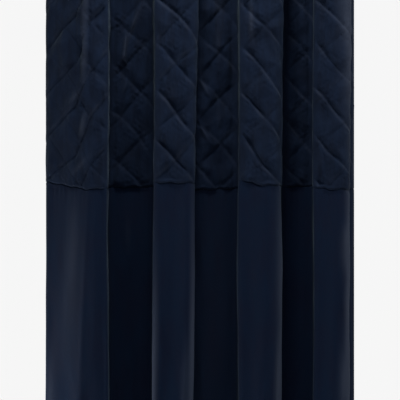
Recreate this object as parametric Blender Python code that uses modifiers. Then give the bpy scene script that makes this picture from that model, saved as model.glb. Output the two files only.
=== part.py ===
"""A pair of velvet curtains, drawn closed, hanging in deep and uneven folds.

Each curtain is a diamond-quilted band sewn to the top of a plain panel with a turned-up hem.
Metres, +Z up. The origin is the middle of the top edge, and -Y faces the room.
"""
from typing import NamedTuple

import bpy
import numpy as np

# The cloth of one curtain, laid flat
DIAMOND = 0.108                # a quilted diamond, corner to corner, upright and across
DIAMONDS_ACROSS = 6.5
DIAMONDS_DOWN = 5
CLOTH_WIDTH = DIAMONDS_ACROSS * DIAMOND
BAND_HEIGHT = DIAMONDS_DOWN * DIAMOND
DROP = 1.37                    # heading to hem
HEM_HEIGHT = 0.08
SEAM_GAP = 0.0003              # between the band's lower edge and the plain panel
TABLE_LEVELS = (0.0, BAND_HEIGHT, DROP)

# Thickness of the cloth
QUILT_AT_STITCHES = 0.0020
QUILT_AT_CROWN = 0.0125
CROWN_SHARPNESS = 0.4          # 1 makes soft waves, less makes fuller diamonds with sharp valleys
FLAT_EDGE = 0.25               # of a diamond: the quilting thins out over this at the band's edges
FLAT_BEND = 0.022              # a bend of this radius presses the quilting to half its fullness
PLAIN_CLOTH = 0.0022
DOUBLED_CLOTH = 0.0044

# The mesh: the quilted grid's points stand on every stitched line
STEPS_PER_DIAMOND = 8
COLUMNS = round(DIAMONDS_ACROSS * STEPS_PER_DIAMOND)
LEFT_SHIFT = 3                 # columns from where the quilting's pattern starts to the cloth's edge
RIGHT_SHIFT = 0
PLAIN_ROWS = 9
ARC_STEP = np.radians(6)
POINTS_IN_RUN = 12

# Every fold wanders a little on its way down
SWAY = 0.002
SWAY_LENGTH = 0.8

# The search for the depth that uses up the cloth
SHARE_OF_DEPTH = (0.5, 2.0)
HALVINGS = 30

VELVET = (0.006, 0.013, 0.036, 1.0)
PILE_ROUGHNESS = 0.9


class Turn(NamedTuple):
    """One turn of the cloth, seen from above, in order from the curtain's left edge to its right."""
    name: str
    heading_x: float           # across, at the top edge
    seam_x: float              # across, at the seam under the quilting
    hem_x: float               # across, at the hem
    y: float                   # depth, - towards the room
    radius: float              # of the bend
    bow: float                 # of the run to the next turn, + to the right of its way
    seam_dip: float            # how far the seam hangs below its level here


LEFT_CURTAIN = (
    Turn("outer edge", -0.3460, -0.3460, -0.3480, 0.070, 0.000, 0.004, -0.010),
    Turn("outer turn", -0.3715, -0.3715, -0.3715, 0.012, 0.016, 0.003, -0.012),
    Turn("fold 1 crest", -0.2680, -0.2650, -0.2960, -0.050, 0.014, 0.002, 0.006),
    Turn("fold 1 rim", -0.2190, -0.2190, -0.2195, -0.045, 0.009, 0.003, 0.004),
    Turn("valley 1 left", -0.2240, -0.2240, -0.2245, 0.046, 0.020, -0.004, 0.000),
    Turn("valley 1 right", -0.1080, -0.1085, -0.1095, 0.044, 0.018, -0.002, 0.000),
    Turn("fold 2 left rim", -0.1070, -0.1075, -0.1110, -0.049, 0.008, -0.002, -0.010),
    Turn("fold 2 right rim", 0.0130, -0.0005, -0.0105, -0.053, 0.027, 0.000, -0.009),
    Turn("tuck", -0.0160, -0.0240, -0.0310, 0.004, 0.014, -0.002, -0.009),
    Turn("leading edge", -0.0760, -0.0820, -0.0880, -0.008, 0.000, 0.000, -0.009),
)
RIGHT_CURTAIN = (
    Turn("leading edge", -0.0540, -0.0580, -0.0620, 0.032, 0.000, 0.002, 0.002),
    Turn("valley 2 left", 0.0080, 0.0080, 0.0080, 0.016, 0.060, -0.002, 0.006),
    Turn("valley 2 right", 0.0965, 0.0965, 0.0955, 0.028, 0.018, -0.002, 0.004),
    Turn("fold 3 left rim", 0.0942, 0.0945, 0.0925, -0.047, 0.008, -0.002, -0.016),
    Turn("fold 3 right rim", 0.2035, 0.1905, 0.1890, -0.050, 0.055, 0.001, -0.003),
    Turn("valley 3 left", 0.2010, 0.1960, 0.1930, 0.038, 0.018, -0.003, -0.002),
    Turn("valley 3 right", 0.2775, 0.2780, 0.2765, 0.040, 0.016, -0.002, -0.002),
    Turn("fold 4 left rim", 0.2712, 0.2715, 0.2695, -0.046, 0.008, -0.002, 0.002),
    Turn("fold 4 right rim", 0.3690, 0.3630, 0.3610, -0.050, 0.038, 0.001, 0.007),
    Turn("outer turn", 0.3560, 0.3530, 0.3520, 0.034, 0.014, 0.002, 0.004),
    Turn("outer edge", 0.3735, 0.3735, 0.3735, 0.058, 0.000, 0.000, 0.004),
)


def unit(vector):
    return vector / np.linalg.norm(vector)


def bend(before, corner, after, radius):
    """Points along the arc that rounds one corner of the cloth's path."""
    inward, outward = unit(before - corner), unit(after - corner)
    half_angle = 0.5 * np.arccos(np.clip(inward @ outward, -1, 1))
    reach = radius / np.tan(half_angle)
    centre = corner + unit(inward + outward) * radius / np.sin(half_angle)
    start = corner + inward * reach - centre
    turned = np.pi - 2 * half_angle
    side = np.sign(outward[0] * inward[1] - outward[1] * inward[0])
    angles = np.linspace(0, turned * side, 2 + int(turned / ARC_STEP))
    cosines, sines = np.cos(angles), np.sin(angles)
    return centre + np.column_stack((start[0] * cosines - start[1] * sines,
                                     start[0] * sines + start[1] * cosines))


def bowed_run(start, end, bow):
    """Points of the run between two bends. It bows out in the middle and is straight at its ends."""
    along = np.linspace(0, 1, POINTS_IN_RUN + 2)[1:-1, None]
    way = unit(end - start)
    sideways = np.array((way[1], -way[0]))
    return start + along * (end - start) + bow * np.sin(np.pi * along) ** 2 * sideways


def rounded_path(turns, across, depth_share):
    """The cloth's path seen from above, and each point's place in the row of turns."""
    corners = np.column_stack((across, [depth_share * turn.y for turn in turns]))
    bends = [bend(*corners[number - 1:number + 2], turns[number].radius)
             for number in range(1, len(turns) - 1)]
    bends = [corners[:1], *bends, corners[-1:]]
    path, places = [], []
    for number, turn in enumerate(turns):
        path.append(bends[number])
        places.append(np.full(len(bends[number]), float(number)))
        if number + 1 < len(turns):
            path.append(bowed_run(bends[number][-1], bends[number + 1][0], turn.bow))
            places.append(number + np.linspace(0, 1, POINTS_IN_RUN + 2)[1:-1])
    return np.vstack(path), np.concatenate(places)


def lengths_along(path):
    steps = np.linalg.norm(np.diff(path, axis=0), axis=1)
    return np.concatenate(([0.0], np.cumsum(steps)))


def depth_share_for(turns, across):
    """Cloth can't stretch: the folds grow deeper or shallower until the path is as long as the cloth."""
    shallow, deep = SHARE_OF_DEPTH
    for _ in range(HALVINGS):
        middle = 0.5 * (shallow + deep)
        path, _ = rounded_path(turns, across, middle)
        if lengths_along(path)[-1] < CLOTH_WIDTH:
            shallow = middle
        else:
            deep = middle
    return middle


def hanging_row(turns, level):
    """One level thread of a hanging curtain: a point for each column of the cloth.

    level is the distance below the heading. The seam's dip grows from the heading to the seam
    and has died away at the hem. The two turns at each side edge don't sway.
    """
    across = np.array([np.interp(level, TABLE_LEVELS, (turn.heading_x, turn.seam_x, turn.hem_x))
                       for turn in turns])
    sway = SWAY * np.sin(2 * np.pi * level / SWAY_LENGTH + 2 * np.arange(len(turns)))
    across[2:-2] += sway[2:-2]
    path, places = rounded_path(turns, across, depth_share_for(turns, across))
    lengths = lengths_along(path)
    wanted = np.linspace(0, lengths[-1], COLUMNS + 1)
    dips = np.interp(np.interp(wanted, lengths, places), range(len(turns)), [turn.seam_dip for turn in turns])
    drop = level + dips * np.interp(level, TABLE_LEVELS, (0.0, 1.0, 0.0))
    return np.column_stack((np.interp(wanted, lengths, path[:, 0]),
                            np.interp(wanted, lengths, path[:, 1]),
                            -drop))


def quilted_grid(columns, rows, shift):
    """Faces of a quilted cloth: a diamond about every other grid point.

    Their sides run at 45 degrees, as the stitched lines do, and shift is how many columns the
    stitching starts before the cloth's edge. At the cloth's edges half a diamond is left, with its
    middle on the edge, and at a corner a quarter. A face is four grid points or, at a corner,
    three. They are counted row by row from the top left.
    """
    faces = []
    for row in range(rows + 1):
        for column in range((row + shift + 1) % 2, columns + 1, 2):
            ring = ((column, max(row - 1, 0)), (max(column - 1, 0), row),
                    (column, min(row + 1, rows)), (min(column + 1, columns), row))
            faces.append([down * (columns + 1) + along for along, down in dict.fromkeys(ring)])
    return faces


def plain_grid(columns, rows):
    corners = ((0, 0), (0, 1), (1, 1), (1, 0))
    return [[(row + down) * (columns + 1) + column + along for along, down in corners]
            for row in range(rows) for column in range(columns)]


def crown(levels, shift):
    """How full the quilting is at each grid point: 0 on the stitched lines, 1 amid a diamond.

    The top edge and the seam are stitched flat too.
    """
    along = (np.arange(COLUMNS + 1) + shift) / STEPS_PER_DIAMOND
    down = np.array(levels)[:, None] / DIAMOND
    rising = np.abs(np.sin(np.pi * (along + down)))
    falling = np.abs(np.sin(np.pi * (along - down)))
    from_edge = np.minimum(down, DIAMONDS_DOWN - down) / FLAT_EDGE
    return (rising * falling) ** CROWN_SHARPNESS * np.sqrt(np.clip(from_edge, 0, 1))


def fullness_in_bends(points):
    """A tight bend presses the quilting flat: 1 on straight cloth, 1/2 where it bends at FLAT_BEND."""
    steps = np.diff(points[:, :, :2], axis=1)
    headings = np.unwrap(np.arctan2(steps[:, :, 1], steps[:, :, 0]), axis=1)
    step = CLOTH_WIDTH / COLUMNS
    curvature = np.pad(np.abs(np.diff(headings, axis=1)), ((0, 0), (1, 1))) / step
    return 1 / (1 + (curvature * FLAT_BEND) ** 2)


def velvet():
    material = bpy.data.materials.new("navy_velvet")
    material.use_nodes = True
    shader = material.node_tree.nodes["Principled BSDF"]
    shader.inputs["Base Color"].default_value = VELVET
    shader.inputs["Roughness"].default_value = PILE_ROUGHNESS
    shader.inputs["Metallic"].default_value = 0.0
    return material


def hang_cloth(name, points, faces, thin, thick, fullness):
    """A sheet through the points, whose thickness runs from thin to thick with its fullness."""
    points, fullness = points.reshape(-1, 3), fullness.ravel()
    used = sorted({point for face in faces for point in face})
    renumbered = {point: number for number, point in enumerate(used)}
    mesh = bpy.data.meshes.new(name)
    mesh.from_pydata(points[used].tolist(), [], [[renumbered[point] for point in face] for face in faces])
    mesh.shade_smooth()
    cloth = bpy.data.objects.new(name, mesh)
    filling = cloth.vertex_groups.new(name="fullness")
    for point in used:
        filling.add([renumbered[point]], float(fullness[point]), "REPLACE")
    solidify = cloth.modifiers.new("thickness", "SOLIDIFY")
    solidify.thickness = thick
    solidify.offset = 0
    solidify.vertex_group = filling.name
    solidify.thickness_vertex_group = thin / thick
    return cloth


def quilted_band(side, turns, shift):
    rows = DIAMONDS_DOWN * STEPS_PER_DIAMOND
    levels = np.linspace(0, BAND_HEIGHT, rows + 1)
    points = np.stack([hanging_row(turns, level) for level in levels])
    fullness = crown(levels, shift) * fullness_in_bends(points)
    return hang_cloth(f"{side}_quilted_band", points, quilted_grid(COLUMNS, rows, shift),
                      QUILT_AT_STITCHES, QUILT_AT_CROWN, fullness)


def plain_panel(side, turns):
    """The plain cloth under the band. Its hem is turned up, so the lowest rows are doubled."""
    hem_line = DROP - HEM_HEIGHT
    single = np.linspace(BAND_HEIGHT + SEAM_GAP, hem_line - DOUBLED_CLOTH, PLAIN_ROWS + 1)
    levels = np.array([*single, hem_line, DROP])
    points = np.stack([hanging_row(turns, level) for level in levels])
    doubled = np.repeat(levels >= hem_line, COLUMNS + 1)
    return hang_cloth(f"{side}_plain_panel", points, plain_grid(COLUMNS, len(levels) - 1),
                      PLAIN_CLOTH, DOUBLED_CLOTH, doubled)


def main():
    for old in list(bpy.data.objects):
        bpy.data.objects.remove(old, do_unlink=True)
    collection = bpy.data.collections.new("curtain_pair")
    bpy.context.scene.collection.children.link(collection)
    heading = bpy.data.objects.new("heading", None)
    collection.objects.link(heading)
    material = velvet()
    for side, turns, shift in (("left", LEFT_CURTAIN, LEFT_SHIFT), ("right", RIGHT_CURTAIN, RIGHT_SHIFT)):
        for cloth in (quilted_band(side, turns, shift), plain_panel(side, turns)):
            cloth.data.materials.append(material)
            cloth.parent = heading
            collection.objects.link(cloth)


main()
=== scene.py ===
# %% [markdown]
# A pair of navy velvet curtains, drawn closed. Each curtain is two cloths: a diamond-quilted band,
# and a plain panel sewn under it. Cloth is one continuous sheet, so the honest way to make it is
# to work out where every thread hangs and to give that surface its thickness. The alternatives are
# a cloth simulation, which would not fall into these very folds, and sculpting by hand, which
# stretches the cloth. Here the folds come from a short table that says where the cloth turns.

import bpy
import numpy as np
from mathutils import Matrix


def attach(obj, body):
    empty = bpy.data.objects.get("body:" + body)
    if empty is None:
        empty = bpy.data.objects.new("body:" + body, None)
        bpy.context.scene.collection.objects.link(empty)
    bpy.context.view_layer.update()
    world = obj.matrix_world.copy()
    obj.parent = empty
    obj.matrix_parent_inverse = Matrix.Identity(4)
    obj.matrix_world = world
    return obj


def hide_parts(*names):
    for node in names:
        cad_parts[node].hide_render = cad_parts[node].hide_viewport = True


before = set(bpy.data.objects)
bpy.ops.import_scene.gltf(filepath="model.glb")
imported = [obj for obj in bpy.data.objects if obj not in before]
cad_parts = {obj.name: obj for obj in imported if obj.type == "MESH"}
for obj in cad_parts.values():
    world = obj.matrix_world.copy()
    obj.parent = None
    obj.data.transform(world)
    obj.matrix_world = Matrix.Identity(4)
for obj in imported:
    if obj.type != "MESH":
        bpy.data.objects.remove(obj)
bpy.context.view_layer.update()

# %% [markdown]
# The cloth before it hangs. The quilting is a grid of squares standing on a corner, and everything
# else is counted in them: the band is five squares deep and six and a half across. Sizes are in
# metres. The numbers are those of the part's source, so this cloth hangs where its solid does. Only
# a few rims were moved by some millimetres to follow the photograph more closely.

# %% The flat cloth
DIAMOND = 0.108                # a quilted square, from corner to corner
DIAMONDS_ACROSS = 6.5
DIAMONDS_DOWN = 5
CLOTH_WIDTH = DIAMONDS_ACROSS * DIAMOND
BAND_HEIGHT = DIAMONDS_DOWN * DIAMOND
DROP = 1.37                    # heading to hem
HEM_HEIGHT = 0.08
TABLE_LEVELS = (0.0, BAND_HEIGHT, DROP)
COLUMN_STEP = 0.003            # between the grid's points along the cloth
COLUMNS = round(CLOTH_WIDTH / COLUMN_STEP)
ALONG = np.linspace(0, CLOTH_WIDTH, COLUMNS + 1)
print(f"each curtain is {CLOTH_WIDTH:.3f} m wide when flat, in {COLUMNS} columns")

# %% [markdown]
# The folds. Seen from above, a hanging cloth is a path that runs back and forth between the turns
# where it bends. One row of the table is one turn: where it is across the window at the heading,
# at the seam and at the hem, how far back it stands, which is negative towards the room, how tight
# it is, how much the run after it bows, and how far the seam hangs below its level there. Uneven
# numbers make real folds.

# %% The turns of the two curtains
LEFT_TURNS = np.array((
    # heading_x, seam_x, hem_x, y, radius, bow, seam_dip
    (-0.3460, -0.3460, -0.3480, 0.070, 0.000, 0.004, -0.010),   # outer edge
    (-0.3746, -0.3746, -0.3746, 0.012, 0.016, 0.003, -0.012),   # outer turn
    (-0.2680, -0.2650, -0.2960, -0.050, 0.014, 0.002, 0.006),   # fold 1 crest
    (-0.2190, -0.2190, -0.2195, -0.046, 0.0025, 0.003, 0.004),  # fold 1 rim
    (-0.2240, -0.2240, -0.2245, 0.046, 0.020, -0.004, 0.000),   # valley 1 left
    (-0.1080, -0.1085, -0.1095, 0.044, 0.018, -0.002, 0.000),   # valley 1 right
    (-0.1070, -0.1075, -0.1110, -0.049, 0.008, -0.002, -0.010), # fold 2 left rim
    (0.0130, -0.0005, -0.0105, -0.053, 0.021, 0.000, -0.009),   # fold 2 right rim
    (-0.0160, -0.0240, -0.0310, 0.004, 0.014, -0.002, -0.009),  # tuck
    (-0.0760, -0.0820, -0.0880, -0.008, 0.000, 0.000, -0.009),  # leading edge
))
RIGHT_TURNS = np.array((
    (-0.0540, -0.0580, -0.0620, 0.032, 0.000, 0.002, 0.002),    # leading edge
    (0.0080, 0.0080, 0.0080, 0.016, 0.060, -0.002, 0.006),      # valley 2 left
    (0.0965, 0.0965, 0.0955, 0.028, 0.018, -0.002, 0.004),      # valley 2 right
    (0.0942, 0.0945, 0.0925, -0.040, 0.008, -0.002, -0.016),    # fold 3 left rim
    (0.2035, 0.1905, 0.1890, -0.054, 0.040, 0.001, -0.003),     # fold 3 right rim
    (0.2010, 0.1960, 0.1930, 0.038, 0.018, -0.003, -0.002),     # valley 3 left
    (0.2775, 0.2780, 0.2765, 0.040, 0.016, -0.002, -0.002),     # valley 3 right
    (0.2712, 0.2715, 0.2695, -0.038, 0.008, -0.002, 0.002),     # fold 4 left rim
    (0.3690, 0.3630, 0.3610, -0.055, 0.036, 0.001, 0.007),      # fold 4 right rim
    (0.3560, 0.3530, 0.3520, 0.034, 0.014, 0.002, 0.004),       # outer turn
    (0.3754, 0.3754, 0.3754, 0.058, 0.000, 0.000, 0.004),       # outer edge
))
CURTAINS = {"left": LEFT_TURNS, "right": RIGHT_TURNS}
SWAY = 0.002                   # every inner fold wanders this far to both sides on its way down
SWAY_LENGTH = 0.8
ARC_STEP = np.radians(6)
POINTS_IN_RUN = 12
SHARE_OF_DEPTH = (0.5, 2.0)    # the search for the folds' depth starts with this range
HALVINGS = 30
SHARE_LEVELS = np.linspace(0, DROP, 24)


def unit(vector):
    return vector / np.linalg.norm(vector)


def bend(before, corner, after, radius):
    """The arc that rounds a corner: its centre lies on the corner's bisector, radius away from
    both runs, and its points turn about that centre from one run to the other."""
    inward, outward = unit(before - corner), unit(after - corner)
    half_angle = 0.5 * np.arccos(np.clip(inward @ outward, -1, 1))
    centre = corner + unit(inward + outward) * radius / np.sin(half_angle)
    start = corner + inward * radius / np.tan(half_angle) - centre
    turned = np.pi - 2 * half_angle
    side = np.sign(outward[0] * inward[1] - outward[1] * inward[0])
    angles = np.linspace(0, turned * side, 2 + int(turned / ARC_STEP))
    cosines, sines = np.cos(angles), np.sin(angles)
    return centre + np.column_stack((start[0] * cosines - start[1] * sines,
                                     start[0] * sines + start[1] * cosines))


def bowed_run(start, end, bow):
    """Start plus a share of the way to the end, plus the bow times the squared sine of that
    share, sideways, so the run meets both bends without a kink."""
    along = np.linspace(0, 1, POINTS_IN_RUN + 2)[1:-1, None]
    way = unit(end - start)
    sideways = np.array((way[1], -way[0]))
    return start + along * (end - start) + bow * np.sin(np.pi * along) ** 2 * sideways


def rounded_path(turns, across, depth_share):
    """Every bend and run in order, and each point's place in the row of turns."""
    corners = np.column_stack((across, depth_share * turns[:, 3]))
    bends = [bend(*corners[number - 1:number + 2], turns[number, 4])
             for number in range(1, len(turns) - 1)]
    bends = [corners[:1], *bends, corners[-1:]]
    path, places = [], []
    for number, turn in enumerate(turns):
        path.append(bends[number])
        places.append(np.full(len(bends[number]), float(number)))
        if number + 1 < len(turns):
            path.append(bowed_run(bends[number][-1], bends[number + 1][0], turn[5]))
            places.append(number + np.linspace(0, 1, POINTS_IN_RUN + 2)[1:-1])
    return np.vstack(path), np.concatenate(places)


def lengths_along(path):
    """The sum of the steps so far."""
    return np.concatenate(([0.0], np.cumsum(np.linalg.norm(np.diff(path, axis=0), axis=1))))


def across_at(turns, level):
    """Each turn's place across the window, between the table's three levels, plus a small sway."""
    across = np.array([np.interp(level, TABLE_LEVELS, turn[:3]) for turn in turns])
    sway = SWAY * np.sin(2 * np.pi * level / SWAY_LENGTH + 2 * np.arange(len(turns)))
    across[2:-2] += sway[2:-2]
    return across


def depth_share_for(turns, level):
    """Cloth can't stretch, so the folds grow deeper or shallower until the path is as long as the
    cloth is wide. The share is found by halving the range that it lies in."""
    shallow, deep = SHARE_OF_DEPTH
    for _ in range(HALVINGS):
        middle = 0.5 * (shallow + deep)
        path, _ = rounded_path(turns, across_at(turns, level), middle)
        if lengths_along(path)[-1] < CLOTH_WIDTH:
            shallow = middle
        else:
            deep = middle
    return middle


depth_shares = {side: np.array([depth_share_for(turns, level) for level in SHARE_LEVELS])
                for side, turns in CURTAINS.items()}
for side, shares in depth_shares.items():
    print(f"{side} curtain's folds: {shares.min():.3f} to {shares.max():.3f} of the table's depth")

# %% [markdown]
# From a path to a surface. A row of the grid is one level thread of the cloth, with its points
# spaced evenly along the path, and the rows follow each other down. The thread dips where the seam
# dips, and near the seam it wobbles a little, as a hand-guided seam does. From this smooth surface
# come two things that the later steps use: the level direction that points out of the cloth's back,
# and how tightly the cloth bends, because wadding can't stay full in a tight bend.

# %% Hang the middle surface
SEAM_WAVES = ((0.043, 1.0, 0.00120), (0.019, 0.0, 0.00048))  # its wobble: length, start, height
WOBBLE_REACH = 0.030           # how far above and below the seam the wobble shows
FLAT_BEND = 0.022              # a bend of this radius presses the quilting to half its fullness
EDGE_REACH = 0.012             # towards its two side edges the cloth flattens over this
EDGE_ROOM = 0.2                # and an allowance keeps this share of its room there


def wave(place, length, start=0.0):
    """A sine that comes round once in every length."""
    return np.sin(2 * np.pi * place / length + start)


def waves(place, table):
    """The sum of a table's sines, each with its length, start and height."""
    return sum(height * wave(place, length, start) for length, start, height in table)


def hanging_row(side, level):
    """Points at equal lengths along the path, each a dip below its level. The dip fades from the
    seam to the heading and the hem, and the wobble as a bell curve."""
    turns = CURTAINS[side]
    share = np.interp(level, SHARE_LEVELS, depth_shares[side])
    path, places = rounded_path(turns, across_at(turns, level), share)
    lengths = lengths_along(path)
    wanted = np.linspace(0, lengths[-1], COLUMNS + 1)
    dips = np.interp(np.interp(wanted, lengths, places), range(len(turns)), turns[:, 6])
    drop = (level + dips * np.interp(level, TABLE_LEVELS, (0.0, 1.0, 0.0))
            + waves(wanted, SEAM_WAVES) * np.exp(-((level - BAND_HEIGHT) / WOBBLE_REACH) ** 2))
    return np.column_stack((np.interp(wanted, lengths, path[:, 0]),
                            np.interp(wanted, lengths, path[:, 1]),
                            -drop))


def hanging(side, levels):
    """The middle surface of one curtain, with a row for each level."""
    return np.stack([hanging_row(side, level) for level in levels])


def smoothed(values, times):
    """Each value is mixed with its neighbours to both sides, a quarter each, several times over."""
    for _ in range(times):
        padded = np.pad(values, ((0, 0), (1, 1)), mode="edge")
        values = 0.25 * padded[:, :-2] + 0.5 * values + 0.25 * padded[:, 2:]
    return values


def backward(points):
    """The level direction out of the cloth's back: the way along the row, turned a quarter."""
    way = np.gradient(points[:, :, :2], axis=1)
    way /= np.linalg.norm(way, axis=2, keepdims=True)
    return np.dstack((-way[:, :, 1], way[:, :, 0], np.zeros(way.shape[:2])))


def curvature(points):
    """The change of heading from step to step, over the step's length."""
    steps = np.diff(points[:, :, :2], axis=1)
    headings = np.unwrap(np.arctan2(steps[:, :, 1], steps[:, :, 0]), axis=1)
    return np.pad(np.abs(np.diff(headings, axis=1)), ((0, 0), (1, 1))) / COLUMN_STEP


def looseness(points, radius):
    """1 where the cloth is straight, a half where it bends at this radius."""
    return 1 / (1 + (smoothed(curvature(points), 3) * radius) ** 2)


def from_edges(along):
    """0 on the cloth's two side edges, and 1 from EDGE_REACH inwards."""
    return np.clip(np.minimum(along, CLOTH_WIDTH - along) / EDGE_REACH, 0, 1)


def room_for_allowance(points):
    """How far a sewn allowance can turn back: less in tight bends and towards the side edges."""
    towards_edge = np.maximum(from_edges(ALONG), EDGE_ROOM)
    return (looseness(points, FLAT_BEND) * towards_edge)[:, :, None]


# %% [markdown]
# The quilting. Thread pulls the velvet, its wadding and its backing together along slanting lines,
# and the cloth swells between them. The swelling could be a picture in the material, but its light
# and shadow are most of what the eye sees, so it is real relief. Each stitched line also gathers
# the cloth a little, so short puckers run out from it, and no diamond is as full as the next.
# Along a line's left side a paler colour is painted on in patches, a painted highlight where the
# cloth rises from the thread towards the light. The pattern isn't laid perfectly straight either:
# its lines wander, and on the left curtain it slips sideways where the crest of fold 1 pinches some
# cloth away, and it hangs a little higher from there on.

# %% Shape the quilting
GROOVE_REACH = (0.0044, 0.0082)  # how fast the cloth rises to the left and to the right of a line
FLAT_EDGE = 0.13 * DIAMOND     # the quilting thins out over this at the heading and at the seam
FULLNESS = (0.68, 1.12)        # of the flattest and of the fullest diamond
RANDOM_LINES = 24              # after so many lines the random numbers start again
LINE_WANDER = 0.030            # how far a line strays, in diamonds
WANDER_LENGTHS = (0.170, 0.140)  # between its strayings, down the cloth and along it
WANDER_LEANS = (9, 7)          # how fast they shift, in radians a metre
EDGE_HIGHLIGHT = 0.32               # a painted highlight along a line's left side, this strong at most,
EDGE_AWAY = 0.0050             # this far from the line
EDGE_BREADTH = 0.0030
PATCH_LENGTHS = (0.9, 0.7)     # and in patches, so many diamonds from one to the next
PATCH_SHARE = (0.6, 0.8)       # the middle of their strength and its swing
PUCKER_REACH = 0.010
PUCKER_LENGTH = 0.0270
PUCKER_BEND = (2.6, 0.061, 40)  # how far they bend, over what length, and how that shifts sideways
PUCKER_GROUP = (0.083, 0.3)    # from one group to the next, and how broad a group is
# How deep the rising and the falling lines sink along the cloth: a fold's tension opens one kind
LINE_DEPTHS = {
    "left": (((0.0, 0.23, 0.31, 0.42, 0.50), (1.0, 1.0, 0.7, 0.7, 0.8)),
             ((0.0, 0.15, 0.20, 0.42, 0.50), (0.30, 0.35, 0.5, 0.7, 1.0))),
    "right": (((0.0, 0.15, 0.22), (0.75, 0.75, 0.55)), ((0.0, 0.15, 0.22), (0.75, 0.75, 1.0))),
}
# Where the pattern starts, how far it slips sideways along the cloth, and how far it is lifted at
# the top, all in diamonds
PATTERNS = {
    "left": (0.375, ((0.150, 0.185, 0.225, 0.330), (0.0, 0.36, 0.36, 0.0)),
             ((0.150, 0.185), (0.0, 0.26))),
    "right": (0.0, ((0.0, 1.0), (0.0, 0.0)), ((0.0, 1.0), (0.0, 0.0))),
}
quilt_random = np.random.default_rng(7)
diamond_fullness = quilt_random.uniform(*FULLNESS, (RANDOM_LINES, RANDOM_LINES))
pucker_phase = quilt_random.uniform(0, 2 * np.pi, (2, RANDOM_LINES))


def pattern_place(side, along, down):
    """Diamonds across and diamonds down, with the pattern's slip, its lift, which fades towards the
    seam, and its wandering. The stitched lines lie where their sum or their difference is whole."""
    start, slips, lifts = PATTERNS[side]
    across = along / DIAMOND + start + np.interp(along, *slips)
    across = across + LINE_WANDER * wave(down, WANDER_LENGTHS[0], WANDER_LEANS[0] * along)
    levels = down / DIAMOND + np.interp(along, *lifts) * (1 - down / BAND_HEIGHT)
    levels = levels + LINE_WANDER * wave(along, WANDER_LENGTHS[1], WANDER_LEANS[1] * down + 1)
    return across, levels


def quilting(side, along, down):
    """Height above the stitched lines, from 0 to about 1: the product of two slanting grooves, one
    where (across + down) is whole and one where (across - down) is. A groove is 1 less its depth
    times e to the power of minus the distance over its reach, so the cloth rises steeply from the
    thread and is nearly flat in the middle. Then comes the diamond's own fullness. The second
    result is the strength of a painted highlight beside the lines: a bell curve along each line's
    left side, times a patchy product of two sines."""
    across, levels = pattern_place(side, along, down)
    groove, own, edge_highlights = 1, 1, 0
    for crossing, depths in zip((across + levels, across - levels), LINE_DEPTHS[side]):
        offset = (crossing - np.round(crossing)) * DIAMOND / np.sqrt(2)
        sunk = np.exp(-np.abs(offset) / np.where(offset < 0, *GROOVE_REACH))
        depth = np.interp(along, *depths)
        groove = groove * (1 - depth * sunk)
        own = own * (1 - sunk)
        edge_highlights = edge_highlights + EDGE_HIGHLIGHT * depth ** 2 * np.exp(-((offset + EDGE_AWAY) / EDGE_BREADTH) ** 2)
    rising, falling = np.floor(across + levels).astype(int), np.floor(across - levels).astype(int)
    own = 1 + (diamond_fullness[rising % RANDOM_LINES, falling % RANDOM_LINES] - 1) * own
    thin = np.sqrt(np.clip(np.minimum(down, BAND_HEIGHT - down) / FLAT_EDGE, 0, 1))
    patches = wave(across, PATCH_LENGTHS[0]) * wave(levels, PATCH_LENGTHS[1])
    patchy = np.clip(PATCH_SHARE[0] + PATCH_SHARE[1] * patches, 0, 1)
    return groove * own * thin, edge_highlights * patchy


def puckers(side, along, down):
    """Ripples that run out from each stitched line: a sine along the line, times a hump that is 0
    on the line, highest at PUCKER_REACH from it and dies away beyond, times a slow sine that leaves
    gaps between groups of them."""
    across, levels = pattern_place(side, along, down)
    bend_height, bend_length, bend_shift = PUCKER_BEND
    group_length, group_breadth = PUCKER_GROUP
    ripples = 0
    for family, (crossing, lengthwise) in enumerate(((across + levels, across - levels),
                                                     (across - levels, across + levels))):
        line = np.round(crossing)
        distance = np.abs(crossing - line) * DIAMOND / np.sqrt(2)
        hump = distance / PUCKER_REACH * np.exp(1 - distance / PUCKER_REACH)
        length = lengthwise * DIAMOND / np.sqrt(2)
        phase = pucker_phase[family, line.astype(int) % RANDOM_LINES]
        bent = bend_height * wave(length, bend_length, 3 * phase + bend_shift * crossing)
        groups = np.clip(wave(length, group_length, 5 * phase) + group_breadth, 0, 1)
        ripples = ripples + hump * groups * wave(length, PUCKER_LENGTH, phase + bent)
    return ripples


print(f"diamonds: {diamond_fullness.min():.2f} to {diamond_fullness.max():.2f} of their full height")

# %% [markdown]
# Soft unevenness. Velvet that has hung for a while shows long shallow waves that follow the
# folds downwards, soft crumples, fine gathers below the heading and below the seam, and a few
# creases. Waves are a sum of sines whose crests lean only a little from upright, and crumples are
# a sum of folded ones that run every way. A crease is placed from one point of the cloth to
# another, with its own height and breadth. On ridges and along the folds' rims, where they catch
# the light, a paler colour is painted on as a highlight. Those highlight strips are placed in the
# same way. They could be painted by a texture in the material, but a value at every point of the
# mesh keeps them on the cloth.

# %% Shape the waves, crumples and gathers
WAVE_COUNT = 14
WAVE_RANGE = (0.024, 0.085)    # the shortest and the longest
WAVE_LEAN = 0.10
WAVE_SCALE = 0.05              # a wave of this length counts as 1 high
MEANDER = (0.6, 0.31)          # how far the crests meander, and over what length
CRUMPLE_COUNT = 14
CRUMPLE_RANGE = (0.045, 0.110)
CRUMPLE_SCALE = 0.08
CRUMPLE_BEND = (0.35, 2.3)     # how far a ridge bends, and over how many of its lengths
GATHER_SHIFTS = ((0.091, 1.0, 1.5), (0.037, 0.0, 0.8))  # sines that make the gathers uneven
wave_random = np.random.default_rng(21)
wave_lengths = wave_random.uniform(*WAVE_RANGE, WAVE_COUNT)
wave_leans = wave_random.normal(0, WAVE_LEAN, WAVE_COUNT)
wave_starts = wave_random.uniform(0, 2 * np.pi, WAVE_COUNT)
crumple_lengths = wave_random.uniform(*CRUMPLE_RANGE, CRUMPLE_COUNT)
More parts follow.
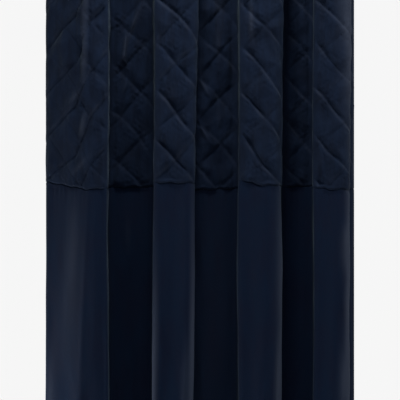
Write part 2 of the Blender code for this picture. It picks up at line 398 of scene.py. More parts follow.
crumple_ways = wave_random.uniform(0, np.pi, CRUMPLE_COUNT)
crumple_starts = wave_random.uniform(0, 2 * np.pi, CRUMPLE_COUNT)


def long_waves(along, down):
    """The mean of many sines across the cloth. Each leans a little, and longer ones are higher."""
    total = 0
    for length, lean, start in zip(wave_lengths, wave_leans, wave_starts):
        meander = MEANDER[0] * wave(down, MEANDER[1], 2 * start)
        total = total + length * wave(along + lean * down, length, start + meander)
    return total / (WAVE_COUNT * WAVE_SCALE)


def crumples(along, down):
    """The mean of many folded sines, 1 - 2 |sine|, each in its own direction: soft hollows that
    meet in ridges. A slow sine bends every ridge, so none is straight for long."""
    total = 0
    for length, way, start in zip(crumple_lengths, crumple_ways, crumple_starts):
        forward = along * np.cos(way) + down * np.sin(way)
        aside = down * np.cos(way) - along * np.sin(way)
        bent = forward / length + CRUMPLE_BEND[0] * wave(aside, CRUMPLE_BEND[1] * length, 2 * start)
        total = total + length * (1 - 2 * np.abs(np.sin(np.pi * bent + start)))
    return total / (CRUMPLE_COUNT * CRUMPLE_SCALE)


def gathers(along, below, reach, length):
    """Fine upright ripples that die away below a seam, over its reach."""
    return np.exp(-below / reach) * wave(along, length, waves(along, GATHER_SHIFTS))


print(f"waves: {wave_lengths.min():.3f} to {wave_lengths.max():.3f} m long, and crumples "
      f"{crumple_lengths.min():.3f} to {crumple_lengths.max():.3f} m")

# %% Place the creases and the painted highlight strips
MILLIMETRE = 0.001
RIDGE_FOR_FULL_HIGHLIGHT = 0.0130         # a ridge this high gets the full painted highlight
RIDGE_FOR_NO_HIGHLIGHT = 0.0022          # and one no higher than this gets none
# Painted highlight strips: from along and down, to along and down, strength of the highlight,
# breadth, in millimetres
HIGHLIGHT_STRIPS = {
    ("left", "band"): (
        (168, 300, 130, 355, 0.40, 5.0),      # zigzags of fold 1's crest
        (182, 345, 158, 435, 0.35, 5.5),
        (125, 530, 200, 445, 0.35, 6.0),      # the arc above fold 1's seam
        (392, 85, 348, 205, 0.40, 5.0),       # the ridge of valley 1
        (352, 150, 342, 260, 0.40, 4.5),
    ),
    ("right", "band"): (
        (597, -300, 606, 540, 0.80, 16.0),    # the right half of fold 4
        (580, -80, 584, 240, 0.30, 14.0),
        (234, 80, 236, 220, 0.35, 8.0),       # the upright swelling on fold 3
        (100, -100, 104, 240, 0.20, 12.0),    # the middle of valley 2
    ),
    ("left", "panel"): (
        (150, 420, 136, 1100, 0.38, 24.0),    # the flank of fold 1
        (86, 860, 80, 1300, 0.35, 14.0),
        (507, 480, 511, 1600, 0.48, 7.0),     # fold 2's left shoulder
        (597, 400, 594, 1600, 0.90, 6.0),     # and its right rim
        (586, 860, 578, 1240, 0.40, 8.0),
    ),
    ("right", "panel"): (
        (96, 100, 100, 1800, 0.11, 42.0),     # the whole of valley 2
        (200, 300, 200, 1600, 0.35, 6.0),     # fold 3's left rim
        (328, 200, 326, 1600, 1.00, 18.0),    # and its right rim
        (312, 840, 304, 1240, 0.60, 8.0),
        (607, 50, 605, 1600, 1.00, 10.0),     # the wavy rim of fold 4
        (594, 600, 598, 760, 0.60, 12.0),
        (592, 880, 588, 1120, 0.60, 10.0),
    ),
}
# Creases read off the photograph: from along and down, to along and down, rise, breadth,
# in millimetres
CREASES = {
    ("left", "band"): (
        (177, -150, 175, 250, 9.0, 7.2),      # the pinched crest of fold 1
        (175, 100, 172, 360, 7.8, 7.0),
        (165, 160, 235, 70, 3.4, 5.6),        # its branch on the first stitched line
        (168, 290, 128, 360, 4.0, 5.4),       # zigzags of the crest further down
        (140, 325, 184, 375, 1.8, 5.0),
        (182, 335, 160, 445, 6.0, 5.8),
        (150, 415, 176, 450, 2.6, 4.6),
        (166, 430, 196, 520, 2.4, 6.0),
        (192, 135, 214, 190, -1.8, 3.5),
        (392, 80, 346, 200, 4.4, 4.6),        # the ridge of valley 1 and its fork
        (352, 140, 341, 255, 5.6, 4.2),
        (348, 210, 320, 275, 3.2, 4.6),
        (340, 210, 362, 270, 3.4, 4.4),
        (362, 250, 334, 345, 4.0, 4.8),
        (336, 330, 348, 430, 2.2, 6.0),
        (398, 290, 372, 390, 2.6, 5.0),
        (394, 30, 398, 240, -4.0, 8.0),
        (318, 50, 320, 300, -3.0, 9.0),
        (586, 230, 604, 330, 2.2, 4.5),       # crumples at fold 2's right rim
        (520, 60, 522, 330, 1.6, 6.0),
        (590, 460, 604, 560, 3.0, 4.5),
    ),
    ("right", "band"): (
        (232, 10, 236, 260, 4.2, 7.5),        # a soft upright swelling on fold 3
        (100, 80, 104, 320, 4.0, 11.0),       # the middle of valley 2
        (100, 260, 108, 470, 3.4, 12.0),
        (50, 255, 94, 345, 4.4, 5.0),         # wedges beside its stitched lines
        (46, 355, 94, 450, 4.4, 5.0),
        (66, 100, 70, 260, -3.4, 9.0),
        (134, 60, 138, 480, -3.4, 8.0),
        (270, 150, 300, 260, 2.2, 6.0),       # fold 3, below its lines
        (246, 330, 262, 420, 2.4, 6.0),
        (232, 430, 262, 520, 2.2, 5.0),
        (404, 60, 408, 260, 3.0, 11.0),       # the middle of valley 3
        (560, 130, 600, 190, 2.6, 6.0),       # fold 4, below its lines
        (552, 215, 598, 285, 3.2, 5.5),
        (552, 315, 600, 385, 3.2, 5.5),
        (560, 420, 598, 490, 2.4, 6.0),
        (598, -140, 606, 500, 5.8, 15.0),     # fold 4's right rim
    ),
    ("left", "panel"): (
        (152, 400, 140, 960, 4.0, 18.0),      # a broad swelling on fold 1
        (120, 560, 116, 900, -2.0, 14.0),
        (86, 860, 80, 1300, 3.4, 13.0),
        (352, 520, 360, 790, 3.4, 15.0),      # valley 1, below the seam
        (392, 700, 388, 1200, 2.4, 12.0),
        (506, 560, 514, 1400, 6.2, 9.0),      # the left shoulder of fold 2
        (602, 440, 597, 1500, 5.8, 6.5),      # and its right rim
        (536, 700, 542, 900, -2.2, 11.0),
        (590, 820, 576, 1120, 3.0, 8.0),
        (552, 960, 560, 1300, 2.0, 12.0),
    ),
    ("right", "panel"): (
        (88, 600, 96, 1000, 2.4, 16.0),       # valley 2
        (142, 900, 134, 1150, -3.0, 12.0),
        (232, 560, 238, 980, -1.6, 12.0),     # fold 3
        (302, 840, 290, 1200, 3.6, 8.0),
        (256, 1160, 294, 900, 2.2, 6.0),
        (330, 300, 322, 1500, 6.0, 13.0),     # and its right rim
        (198, 300, 200, 1500, 4.0, 10.0),
        (608, 300, 606, 1500, 6.0, 12.0),     # the wavy rim of fold 4
        (586, 580, 598, 720, 3.2, 9.0),
        (590, 740, 596, 880, 3.4, 8.5),
        (594, 890, 580, 1180, 4.0, 9.5),
        (550, 600, 546, 1000, -1.8, 13.0),
    ),
}


def crease(along, down, from_along, from_down, to_along, to_down, rise, breadth):
    """A soft ridge, or a trough where rise is negative: a bell curve across the line from its start
    to its end, times a bell-like hump along it."""
    start, end = MILLIMETRE * np.array(((from_along, from_down), (to_along, to_down)))
    length = np.linalg.norm(end - start)
    way = (end - start) / length
    share = ((along - start[0]) * way[0] + (down - start[1]) * way[1]) / length
    aside = (along - start[0]) * -way[1] + (down - start[1]) * way[0]
    hump = np.sin(np.pi * np.clip(share, 0, 1)) ** 2
    return rise * hump * np.exp(-(aside / (MILLIMETRE * breadth)) ** 2)


def creased(side, cloth, along, down):
    """The sum of the cloth's creases, and the strength of a painted highlight: on the higher ridges
    among them, and on the highlight strips."""
    heights = [MILLIMETRE * crease(along, down, *row) for row in CREASES[side, cloth]]
    ridges = np.sum([np.clip(height, 0, None) for height in heights], axis=0)
    strips = np.sum([crease(along, down, *row) for row in HIGHLIGHT_STRIPS[side, cloth]], axis=0)
    over = np.clip(ridges - RIDGE_FOR_NO_HIGHLIGHT, 0, None) / (RIDGE_FOR_FULL_HIGHLIGHT - RIDGE_FOR_NO_HIGHLIGHT)
    return np.sum(heights, axis=0), np.clip(over + strips, 0, 1)


print("creases:", sum(len(rows) for rows in CREASES.values()),
      "and brushed strips:", sum(len(rows) for rows in HIGHLIGHT_STRIPS.values()))

# %% [markdown]
# A sheet with two faces. The front and the back are the middle surface moved out along its
# normals, each with its own relief, and strips close the four edges. Blender's Solidify would do
# this with one even thickness, but here the two faces need different heights, so the numbers are
# worked out directly. The cloth's own width and length go into a UV map in metres, which stays
# with the cloth round every fold.

# %% Turn a grid into a closed cloth
def normals_of(points):
    """Out of the front: the way down crossed with the way along."""
    along = np.gradient(points, axis=1)
    down = np.gradient(points, axis=0)
    normal = np.cross(down, along)
    return normal / np.linalg.norm(normal, axis=2, keepdims=True)


def closed_faces(rows, columns):
    """Quads of the front grid, of the back grid turned round, and of the strips between them."""
    number = np.arange(rows * columns).reshape(rows, columns)
    back = number + rows * columns
    front_faces = np.stack((number[:-1, :-1], number[1:, :-1], number[1:, 1:], number[:-1, 1:]), -1)
    back_faces = np.stack((back[:-1, :-1], back[:-1, 1:], back[1:, 1:], back[1:, :-1]), -1)
    ring = np.concatenate((number[0, :-1], number[:-1, -1], number[-1, :0:-1], number[:0:-1, 0]))
    after = np.roll(ring, -1)
    strip = np.stack((ring, after, after + rows * columns, ring + rows * columns), -1)
    return np.vstack((front_faces.reshape(-1, 4), back_faces.reshape(-1, 4), strip))


def linked_piece(name, points, faces):
    """A new smooth object in the scene."""
    mesh = bpy.data.meshes.new(name)
    mesh.from_pydata(points, [], faces)
    mesh.shade_smooth()
    piece = bpy.data.objects.new(name, mesh)
    bpy.context.collection.objects.link(piece)
    return piece


def cloth_piece(name, front, back, along, down, brushed):
    """A piece from two grids of points, with the cloth's own width and length as its UV map and,
    for each point, the strength of the painted highlight."""
    faces = closed_faces(*front.shape[:2])
    piece = linked_piece(name, np.vstack((front.reshape(-1, 3), back.reshape(-1, 3))), faces)
    own = np.column_stack((np.tile(along.ravel(), 2), np.tile(down.ravel(), 2)))
    piece.data.uv_layers.new(name="cloth").uv.foreach_set("vector", own[faces.ravel()].ravel())
    # a point attribute holds the painted highlight's strength for the material
    pile_noise_and_highlight_layer = piece.data.attributes.new("brushed", "FLOAT", "POINT")
    pile_noise_and_highlight_layer.data.foreach_set("value", np.tile(brushed.ravel(), 2))
    print(f"{name}: {2 * len(faces)} triangles")
    return piece


# %% [markdown]
# The quilted bands. At its lower edge a band turns back into the seam, where the plain panel's
# upper edge meets it, so the seam is a real groove that holds its own shadow. The turned-back
# allowance narrows in tight bends, where there is no room for it.

# %% Make the quilted bands
QUILT_HALF_FLAT = 0.0010       # half the cloth's thickness on a stitched line
QUILT_RISE = 0.0098            # how much more at the middle of a diamond
BACK_FULLNESS = 0.85           # of the back's diamonds, next to those in front
FLANK_SHARE = 0.28             # how full the quilting stays where the cloth is seen edge on
PUCKER_RISE = 0.0012
PUCKERED = ((0.13, 0.18), (0.25, 1.0))    # along the cloth: fold 1's flank has few puckers
SEAM_TURN = 0.0030             # the cloth starts to turn back this far from the seam's level
# The rows of the allowance: how far below the start of the turn and how far back
ALLOWANCE_LEVELS = np.array((0.0003, 0.0013, 0.00180, 0.00195, 0.00195))
ALLOWANCE_BACK = np.array((0.0000, 0.0003, 0.0015, 0.0040, 0.0070))
SEAM_HOLD = 0.008              # all but the quilting fades out over this above the seam
HEADING_GATHER = 0.0030
HEADING_GATHERS = (0.060, 0.0190)         # how far down they reach, and from one to the next
WAVE_RISE = 0.0010
CRUMPLE_RISE = 0.0118
CRUMPLE_AT_SEAM = (0.3, 0.02)  # how much more crumpled at the seam, and over what reach
CALM = {"left": ((0.28, 0.33, 0.40, 0.45), (1.0, 0.5, 0.5, 1.0)),    # less crumpled in hollow 1
        "right": ((0.0, 1.0), (1.0, 1.0))}


def quilted_band(side):
    """One curtain's band, its front and its rows' places down the cloth. Relief is added along the
    normals and fades towards the side edges and the seam. The back has the diamonds and the
    unevenness too, but no puckers."""
    seam_start = BAND_HEIGHT - SEAM_TURN
    levels = np.append(np.arange(0, BAND_HEIGHT - 1.5 * SEAM_TURN, COLUMN_STEP), seam_start)
    rows = np.append(levels, seam_start + ALLOWANCE_LEVELS)
    points = hanging(side, rows)
    turned_back = np.append(np.zeros(len(levels)), ALLOWANCE_BACK)[:, None, None]
    middle = points + backward(points) * turned_back * room_for_allowance(points)
    normal = normals_of(middle)
    along, down = np.meshgrid(ALONG, rows)
    loose = looseness(middle, FLAT_BEND)
    loose[len(levels):] = 0
    loose = loose * (FLANK_SHARE + (1 - FLANK_SHARE) * normal[:, :, 1] ** 2)
    side_edge = np.sqrt(from_edges(along))
    edge = side_edge * np.clip((seam_start - down) / SEAM_HOLD, 0, 1)
    height, line_highlights = quilting(side, along, down)
    puff = QUILT_RISE * height * loose * side_edge
    ripple = puckers(side, along, down) * PUCKER_RISE * loose * edge * np.interp(along, *PUCKERED)
    more, reach = CRUMPLE_AT_SEAM
    crumpled = CRUMPLE_RISE * (1 + more * np.exp((down - BAND_HEIGHT) / reach))
    # the creases, and the strength of the painted highlight on their ridges and strips
    creases, brushed = creased(side, "band", along, down)
    uneven = (long_waves(along, down) * WAVE_RISE
              + crumples(along, down) * crumpled * np.interp(along, *CALM[side])
              + gathers(along, down, *HEADING_GATHERS) * HEADING_GATHER) * loose
    uneven = (uneven + creases) * edge
    front = middle + normal * (QUILT_HALF_FLAT + puff + ripple + uneven)[:, :, None]
    back = middle - normal * (QUILT_HALF_FLAT + BACK_FULLNESS * puff - uneven)[:, :, None]
    # the piece carries a painted highlight: on the creases' ridges, on the strips and beside the lines
    piece = cloth_piece(f"{side}_quilted_velvet", front, back, along, down,
                        np.clip(brushed + line_highlights, 0, 1))
    return piece, front, rows


bands = {side: quilted_band(side) for side in CURTAINS}

# %% [markdown]
# The plain panels. They hang from the same thread as the band, and at the bottom the cloth is
# turned up behind itself and sewn, as every curtain's hem is. The turn-up is the same sheet going
# round and up again, so the hem is one piece with its panel.

# %% Make the plain panels
PLAIN_HALF = 0.0011            # half the cloth's thickness
UNDER_BAND = 0.0008            # the panel starts this far behind the band and comes forward below
UNDER_REACH = 0.016
PANEL_HOLD = 0.006             # the unevenness fades out over this below the seam
PANEL_BEND = 0.020             # a bend of this radius halves the unevenness
HEM_BEND = 0.004               # and one of this radius the room for the turned-up hem
PANEL_WAVES = 1.6              # times the band's
PANEL_CRUMPLE = 0.0050
CRUMPLE_STRETCH = 0.3          # crumples are drawn out downwards: a length shrinks to this share
SEAM_GATHER = 0.0006
SEAM_GATHERS = (0.045, 0.0130)
# The rows round the hem's fold: how far above the fold and how far back
HEM_LEVELS = np.array((0.0010, 0.0003, 0.0, 0.0003, 0.0010))
HEM_BACK = np.array((0.0001, 0.0006, 0.0015, 0.0024, 0.0029))
THREAD_LEVEL = DROP - HEM_HEIGHT + 0.004   # the hem's stitching, below the turned-up edge
THREAD_HOLD = 0.0004           # it presses the cloth down this far, over THREAD_REACH on both sides
THREAD_REACH = 0.004
PANEL_START = BAND_HEIGHT + SEAM_TURN
FINE_REACH, FINE_STEP = 0.03, 0.004        # so far below the seam the rows lie this close
REST_ROWS, TURNED_ROWS, ROW_GAP = 98, 12, 0.006
HEM_FOLD = 0.0012              # the middle of the cloth folds this far above the hem's level
LAST_IN_FRONT = 0.004          # and its last row in front lies this far above that
NEAR_SEAM = np.arange(PANEL_START, PANEL_START + FINE_REACH, FINE_STEP)
REST = np.linspace(NEAR_SEAM[-1] + ROW_GAP, DROP - LAST_IN_FRONT, REST_ROWS)
# The panel's rows in parts, from the top: their levels, how far the seam and the hem turn them
# back, and how the unevenness counts there, as it points the other way in the turned-up cloth
PANEL_PARTS = (
    (PANEL_START - ALLOWANCE_LEVELS[::-1], ALLOWANCE_BACK[::-1], 0, 1),
    (NEAR_SEAM, 0, 0, 1),
    (REST, 0, 0, 1),
    (DROP - HEM_FOLD - HEM_LEVELS, 0, HEM_BACK, 0),
    (np.linspace(DROP - ROW_GAP, DROP - HEM_HEIGHT, TURNED_ROWS), 0, HEM_BACK[-1], -1),
)
panel_rows = np.hstack([np.broadcast_arrays(*part) for part in PANEL_PARTS])
panel_levels, seam_back, hem_back, counts = panel_rows[:, :, None]
TRAVELLED = lengths_along(np.column_stack((panel_levels, seam_back + hem_back)))
IN_FRONT = slice(len(ALLOWANCE_LEVELS), len(ALLOWANCE_LEVELS) + len(NEAR_SEAM) + len(REST))


def plain_panel(side):
    """One curtain's panel, its front above the hem and the levels of those rows. The two faces
    stand half the cloth's thickness from the middle, and both follow the unevenness."""
    points = hanging(side, panel_levels[:, 0])
    along, down = np.meshgrid(ALONG, TRAVELLED)
    below = np.clip(panel_levels - PANEL_START, 0, None)
    under = seam_back + UNDER_BAND * np.exp(-below / UNDER_REACH)
    behind = hem_back * looseness(points, HEM_BEND)
    middle = points + backward(points) * (under[:, :, None] * room_for_allowance(points)
                                          + behind[:, :, None])
    edge = np.clip(below / PANEL_HOLD, 0, 1) * np.sqrt(from_edges(along))
    # the creases, and the strength of the painted highlight on their ridges and strips
    creases, brushed = creased(side, "panel", along, panel_levels)
    uneven = (long_waves(along, panel_levels) * WAVE_RISE * PANEL_WAVES
              + crumples(along, CRUMPLE_STRETCH * panel_levels) * PANEL_CRUMPLE
              + gathers(along, below, *SEAM_GATHERS) * SEAM_GATHER) * looseness(points, PANEL_BEND)
    uneven = (uneven + creases) * edge * counts
    half = PLAIN_HALF - THREAD_HOLD * np.exp(-((panel_levels - THREAD_LEVEL) / THREAD_REACH) ** 2)
    normal = normals_of(middle)
    front = middle + normal * (half + uneven)[:, :, None]
    back = middle - normal * (half - uneven)[:, :, None]
    piece = cloth_piece(f"{side}_plain_velvet", front, back, along, down, brushed)
    return piece, front[IN_FRONT], panel_levels[IN_FRONT, 0]


panels = {side: plain_panel(side) for side in CURTAINS}

# %% [markdown]
# The thread. Every stitched line is a row of short stitches that lie in its valley. A stitch is
# only a few millimetres long, so a dull eight-sided bead pulled long is enough for each, and all
# the stitches of one cloth are one piece. Their places come from the cloth's own front, so they
# follow every bulge and fold.

# %% Sew the stitches
STITCH_PITCH = 0.0042
STITCH_LENGTH = 0.0030
STITCH_HALF_WIDTH = 0.00042
STITCH_RAISED = 0.1            # of its half width, above the velvet
LONG_PITCH = 1.6               # the hem's stitches lie this much further apart
FIRST_ROW, LAST_ROW = 0.004, BAND_HEIGHT - 0.006
QUILT_MARGIN, HEM_MARGIN = 0.006, 0.008   # from the side edges
BEAD = np.array(((1, 0, 0), (-1, 0, 0), (0, 1, 0), (0, -1, 0), (0, 0, 1), (0, 0, -1)), float)
BEAD_FACES = np.array(((0, 2, 4), (2, 1, 4), (1, 3, 4), (3, 0, 4),
                       (2, 0, 5), (1, 2, 5), (3, 1, 5), (0, 3, 5)))


def on_grid(grid, rows, along, down):
    """The grid's point at a place of the cloth, mixed from the four points round it."""
    column = np.clip(along / COLUMN_STEP, 0, COLUMNS - 1e-6)
    row = np.clip(np.interp(down, rows, np.arange(len(rows))), 0, len(rows) - 1 - 1e-6)
    left, top = column.astype(int), row.astype(int)
    right_share, low_share = (column - left)[:, None], (row - top)[:, None]
    upper = grid[top, left] * (1 - right_share) + grid[top, left + 1] * right_share
    lower = grid[top + 1, left] * (1 - right_share) + grid[top + 1, left + 1] * right_share
    return upper * (1 - low_share) + lower * low_share


def stitches(name, grid, rows, along, down, way):
    """One bead for each place of the cloth: its long axis runs the given way, from the grid's
    point a little before it to the point a little after, and it lies on the front."""
    step = way * STITCH_LENGTH / 2
    before = on_grid(grid, rows, along - step[:, 0], down - step[:, 1])
    after = on_grid(grid, rows, along + step[:, 0], down + step[:, 1])
    upright = on_grid(normals_of(grid), rows, along, down)
    half = 0.5 * (after - before)
    flat = np.cross(upright, half)
    flat *= STITCH_HALF_WIDTH / np.linalg.norm(flat, axis=1, keepdims=True)
    upright *= STITCH_HALF_WIDTH / np.linalg.norm(upright, axis=1, keepdims=True)
    centres = 0.5 * (before + after) + STITCH_RAISED * upright
    points = centres[:, None, :] + BEAD @ np.stack((half, flat, upright), axis=1)
    faces = BEAD_FACES[None] + len(BEAD) * np.arange(len(centres))[:, None, None]
    print(f"{name}: {len(centres)} stitches")
    return linked_piece(name, points.reshape(-1, 3), faces.reshape(-1, 3))


def quilting_places(side):
    """Places along every slanting line, a pitch apart. At each level the pattern's sum or
    difference grows steadily along the cloth, so the places where it is whole can be looked up."""
    lines = np.arange(-DIAMONDS_DOWN - 1, 2 * DIAMONDS_DOWN + 4)
    spots, ways = [], []
    for down in np.arange(FIRST_ROW, LAST_ROW, STITCH_PITCH / np.sqrt(2)):
        across, levels = pattern_place(side, ALONG, down)
        for slope in (1, -1):
            along = np.interp(lines, across + slope * levels, ALONG, left=np.nan, right=np.nan)
            along = along[(along > QUILT_MARGIN) & (along < CLOTH_WIDTH - QUILT_MARGIN)]
            spots.append(np.column_stack((along, np.full(len(along), down))))
            ways.append(np.tile((-slope / np.sqrt(2), 1 / np.sqrt(2)), (len(along), 1)))
    return np.vstack(spots), np.vstack(ways)


threads, hem_threads = {}, {}
for side in CURTAINS:
    spots, ways = quilting_places(side)
    threads[side] = stitches(f"{side}_quilting_thread", *bands[side][1:], *spots.T, ways)
    along = np.arange(HEM_MARGIN, CLOTH_WIDTH - HEM_MARGIN, LONG_PITCH * STITCH_PITCH)
    ways = np.tile((1.0, 0.0), (len(along), 1))
    hem_threads[side] = stitches(f"{side}_hem_thread", *panels[side][1:], along,
                                 np.full(len(along), THREAD_LEVEL), ways)

# %% [markdown]
# Maths on sockets. A material's numbers can be worked out by nodes, and a chain of Math nodes is
# hard to read as code. This small class wraps a socket, so that an expression such as
# 1 - mask * 0.5 adds the nodes by itself. Colours don't go through it, because a Math node turns
# a colour grey: they are mixed.

# %% Write node maths as expressions
class Wire:
    """A node's output socket. Plus, minus and times on it each add a Math node."""

    def __init__(self, finish, socket):
        self.finish = finish
        self.socket = socket

    def maths(self, operation, first, second):
        return self.finish.node("ShaderNodeMath", {"operation": operation}, {0: first, 1: second})

    def __add__(self, other):
        return self.maths("ADD", self, other)

    __radd__ = __add__

    def __mul__(self, other):
        return self.maths("MULTIPLY", self, other)

    __rmul__ = __mul__

    def __sub__(self, other):
        return self.maths("SUBTRACT", self, other)

    def __rsub__(self, other):
        return self.maths("SUBTRACT", other, self)


class Finish:
    """A material whose nodes all come from one method."""

    def __init__(self, name):
        self.material = bpy.data.materials.new(name)
        self.material.use_nodes = True
        self.tree = self.material.node_tree
        self.shader = self.tree.nodes["Principled BSDF"]

    def join(self, socket, value):
        """A wire is linked, and a plain value is set on the socket itself."""
        if isinstance(value, Wire):
            self.tree.links.new(value.socket, socket)
        else:
            socket.default_value = value

    def node(self, kind, settings, values, output=0):
        """Adds a node: its settings first, then its sockets, and gives back one output."""
        made = self.tree.nodes.new(kind)
        for name, value in settings.items():
            setattr(made, name, value)
        for name, value in values.items():
            self.join(made.inputs[name], value)
        return Wire(self, made.outputs[output])

    def surface(self, **values):
        """Sets the shader's sockets, whose names are given with underscores for spaces."""
        for name, value in values.items():
            self.join(self.shader.inputs[name.replace("_", " ")], value)
        return self.material


# %% [markdown]
# Velvet. Its pile stands up from the cloth like short grass. Light that falls along the pile is
# swallowed, so velvet is darkest where it faces the eye, and the tips catch light where the cloth
# turns away, so every fold has a bright rim. Blender's sheen lobe does just that. Its tint is the
# pale blue of the tips, and the base colour is the deep navy between them. Hardly any light is
# mirrored, so the specular level is low. The pile never lies quite evenly, so soft noise
# stretched down the cloth shifts the base colour, and a fine bump breaks up the sheen. Where the
# mesh asks for it, a paler blue is mixed in: a painted highlight on ridges, on the folds' rims and
# beside the stitched lines.

# %% Make the velvet
# the paler blue of the painted highlight
PAINTED_HIGHLIGHT_BLUE = (0.0062, 0.0088, 0.0165)
SHEEN_ROUGHNESS = 0.40
SHEEN_TINT = (0.50, 0.75, 1.00)
PATCH_STRETCH, STREAK_STRETCH = (1.0, 0.35, 1.0), (1.0, 0.12, 1.0)
STREAK_SCALE, PILE_SCALE = 160.0, 700.0
SHADE_SHARES = (0.6, 0.25, 0.15)           # of the patches, the streaks and the pile in the colour
NAP_HEIGHTS = (0.0012, 0.0004, 0.0002)     # and their heights in the bump
NAP_ROUGHNESS = (0.86, 0.10)               # where the tone is dark, and how much more where light


def velvet(name, base_dark, base_light, sheen_weight, pile_bump, patch_scale):
    """Base colour: dark and light navy mixed by slow and fine noise, and the painted highlight's
    paler blue by the mesh. Bump: fine pile on top of slow patches. All noise is read in the cloth's
    own metres."""
    finish = Finish(name)
    own = finish.node("ShaderNodeUVMap", {"uv_map": "cloth"}, {})
    stretched = finish.node("ShaderNodeMapping", {}, {"Vector": own, "Scale": PATCH_STRETCH})
    patches = finish.node("ShaderNodeTexNoise", {}, {"Vector": stretched, "Scale": patch_scale,
                                                     "Detail": 3.0, "Roughness": 0.55})
    upright = finish.node("ShaderNodeMapping", {}, {"Vector": own, "Scale": STREAK_STRETCH})
    streaks = finish.node("ShaderNodeTexNoise", {},
                          {"Vector": upright, "Scale": STREAK_SCALE, "Detail": 2.0})
    pile_noise_and_highlight_layer = finish.node("ShaderNodeTexNoise", {}, {"Vector": own, "Scale": PILE_SCALE, "Detail": 2.0})
    shade = patches * SHADE_SHARES[0] + streaks * SHADE_SHARES[1] + pile_noise_and_highlight_layer * SHADE_SHARES[2]
    tone = finish.node("ShaderNodeMapRange", {"interpolation_type": "SMOOTHSTEP"},
                       {"Value": shade, "From Min": 0.32, "From Max": 0.68})
    colour = finish.node("ShaderNodeMix", {"data_type": "RGBA"},
                         {0: tone, 6: (*base_dark, 1.0), 7: (*base_light, 1.0)}, output=2)
    # a paler blue painted on as highlight, as strong as the mesh's attribute says
    brushed = finish.node("ShaderNodeAttribute", {"attribute_name": "brushed"}, {}, output="Fac")
    colour = finish.node("ShaderNodeMix", {"data_type": "RGBA"},
                         {0: brushed, 6: colour, 7: (*PAINTED_HIGHLIGHT_BLUE, 1.0)}, output=2)
    height = patches * NAP_HEIGHTS[0] + streaks * NAP_HEIGHTS[1] + pile_noise_and_highlight_layer * NAP_HEIGHTS[2]
    nap = finish.node("ShaderNodeBump", {}, {"Height": height, "Distance": 1.0, "Strength": pile_bump})
    return finish.surface(Base_Color=colour, Roughness=NAP_ROUGHNESS[0] + tone * NAP_ROUGHNESS[1],
                          Normal=nap, Metallic=0.0, Specular_IOR_Level=0.04,
                          Sheen_Weight=sheen_weight, Sheen_Roughness=SHEEN_ROUGHNESS,
                          Sheen_Tint=(*SHEEN_TINT, 1.0))


# The band and the panel are the same velvet. The panel's copy has a mostly darker base: painted shade
# that keeps its fronts darker than the band's.
quilted_velvet = velvet("navy_velvet_quilted", base_dark=(0.0001, 0.0012, 0.0048),
                        base_light=(0.0010, 0.0029, 0.0088), sheen_weight=0.0160, pile_bump=2.4,
                        patch_scale=40.0)
plain_velvet = velvet("navy_velvet_plain", base_dark=(0.0001, 0.0011, 0.0054),
                      base_light=(0.0002, 0.0019, 0.0070), sheen_weight=0.0190, pile_bump=0.9,
                      patch_scale=26.0)
print("velvets:", quilted_velvet.name, "and", plain_velvet.name)

# %% [markdown]
# The thread is a plain dark navy cotton, far duller than the pile's tips, and its twist is a fine
# noise.

# %% Make the thread's finish
THREAD_DARK, THREAD_LIGHT = (0.0003, 0.0006, 0.0020, 1.0), (0.0010, 0.0018, 0.0050, 1.0)
TWIST_HEIGHT = 0.0002
cotton = Finish("navy_thread")
place = cotton.node("ShaderNodeTexCoord", {}, {}, output="Object")
twist = cotton.node("ShaderNodeTexNoise", {}, {"Vector": place, "Scale": 900.0, "Detail": 2.0})
cotton_colour = cotton.node("ShaderNodeMix", {"data_type": "RGBA"},
                            {0: twist, 6: THREAD_DARK, 7: THREAD_LIGHT}, output=2)
twist_bump = cotton.node("ShaderNodeBump", {},
                         {"Height": twist * TWIST_HEIGHT, "Distance": 1.0, "Strength": 0.5})
thread_finish = cotton.surface(Base_Color=cotton_colour, Roughness=0.75, Normal=twist_bump,
                               Specular_IOR_Level=0.03)
print("thread:", thread_finish.name)

# %% [markdown]
# Where the pieces belong. Cloth has no joints, so every piece rides on the one body of the pair.
# Each new cloth stands for the plain solid that it was made from, and takes its own finish.

# %% Put the pieces in their places
for side in CURTAINS:
    band, panel = bands[side][0], panels[side][0]
    thread, hem_thread = threads[side], hem_threads[side]
    for piece, slot_name, finish in ((band, "quilted_velvet", quilted_velvet),
                                     (thread, "quilted_velvet", thread_finish),
                                     (panel, "plain_velvet", plain_velvet),
                                     (hem_thread, "plain_velvet", thread_finish)):
        piece.data.materials.append(finish)
        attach(piece, "root")
    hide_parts(f"{side}_quilted_band")
    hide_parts(f"{side}_plain_panel")
    print(f"{side} curtain: {band.name}, {panel.name} and their thread are in place")

# %% [markdown]
# The room. A pale floor lies under the curtains, and the world is one even, nearly white light,
# as in a bright studio. It is also the background that the camera sees.

# %% Lay the floor and light the room
FLOOR_LEVEL = -1.50
FLOOR_RADIUS = 2.3
FLOOR_CORNERS = 64
FLOOR_DARK, FLOOR_LIGHT = (0.70, 0.70, 0.69, 1.0), (0.76, 0.76, 0.75, 1.0)
ROOM_LIGHT = 0.922
turn = np.linspace(0, 2 * np.pi, FLOOR_CORNERS, endpoint=False)
floor = linked_piece("floor", np.column_stack((FLOOR_RADIUS * np.cos(turn), FLOOR_RADIUS * np.sin(turn),
                                               np.full(FLOOR_CORNERS, FLOOR_LEVEL))),
                     [list(range(FLOOR_CORNERS))])
paint = Finish("pale_floor")
floor_place = paint.node("ShaderNodeTexCoord", {}, {}, output="Object")
cloudy = paint.node("ShaderNodeTexNoise", {}, {"Vector": floor_place, "Scale": 2.0, "Detail": 2.0})
floor_colour = paint.node("ShaderNodeMix", {"data_type": "RGBA"},
                          {0: cloudy, 6: FLOOR_DARK, 7: FLOOR_LIGHT}, output=2)
floor.data.materials.append(paint.surface(Base_Color=floor_colour, Roughness=0.9))

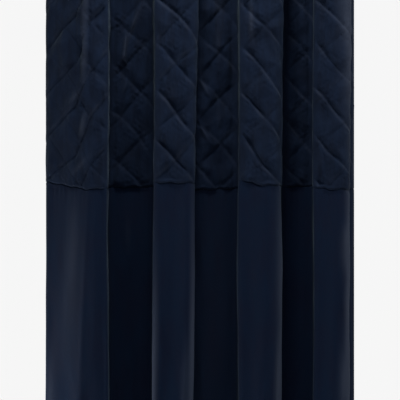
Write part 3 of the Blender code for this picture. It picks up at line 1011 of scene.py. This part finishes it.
world = bpy.data.worlds.new("bright_room")
world.use_nodes = True
background = world.node_tree.nodes["Background"]
background.inputs["Color"].default_value = (ROOM_LIGHT, ROOM_LIGHT, ROOM_LIGHT, 1.0)
background.inputs["Strength"].default_value = 1.0
bpy.context.scene.world = world
bpy.context.scene.view_settings.view_transform = "Standard"
print(f"floor: radius {FLOOR_RADIUS} m, at {FLOOR_LEVEL} m")

# %% [markdown]
# Three soft lamps shape the folds. The main one stands far to the right and a little high, so it
# grazes the fronts, strikes the right side of every fold and leaves the hollows dark. A near one
# above the middle reaches into the tops of the hollows, and a weak one low on the left lights the
# left flank of fold 1, most at the bottom. Their light is a little warmer than the room's, so the
# hollows, which only the room lights, look bluer than the fronts.

# %% Hang the lamps
LAMP_COLOUR = (1.0, 0.92, 0.80)


def soft_lamp(name, place, target, size, power):
    """A square lamp whose -Z axis points from its place to the target."""
    lamp = bpy.data.lights.new(name, "AREA")
    lamp.energy = power
    lamp.color = LAMP_COLOUR
    lamp.size = size
    holder = bpy.data.objects.new(name, lamp)
    holder.location = place
    way = np.subtract(target, place)
    holder.rotation_euler = (np.arctan2(np.hypot(way[0], way[1]), -way[2]), 0,
                             np.arctan2(way[1], way[0]) - np.pi / 2)
    bpy.context.collection.objects.link(holder)
    print(f"{name}: {power} W")


soft_lamp("right_lamp", (2.1, -1.15, 0.75), (0.1, 0.0, -0.50), 0.4, 124)
soft_lamp("high_lamp", (-0.1, -0.6, 0.90), (0.0, 0.0, -0.30), 0.35, 60)
soft_lamp("left_lamp", (-1.0, -0.20, -1.45), (-0.33, 0.0, -0.95), 0.3, 50)

# %% [markdown]
# The camera. The picture was taken straight from the front, and the curtains run out of it at the
# top and at the bottom. A long lens from four metres shows them with hardly any perspective.

# %% Set up the camera
lens = bpy.data.cameras.new("front_camera")
lens.lens = 150
lens.sensor_width = 36
camera = bpy.data.objects.new("front_camera", lens)
camera.location = (0.0012, -4.0, -0.571)
camera.rotation_euler = (np.pi / 2, 0, 0)
bpy.context.collection.objects.link(camera)
bpy.context.scene.camera = camera
print("camera at", [round(value, 4) for value in camera.location])
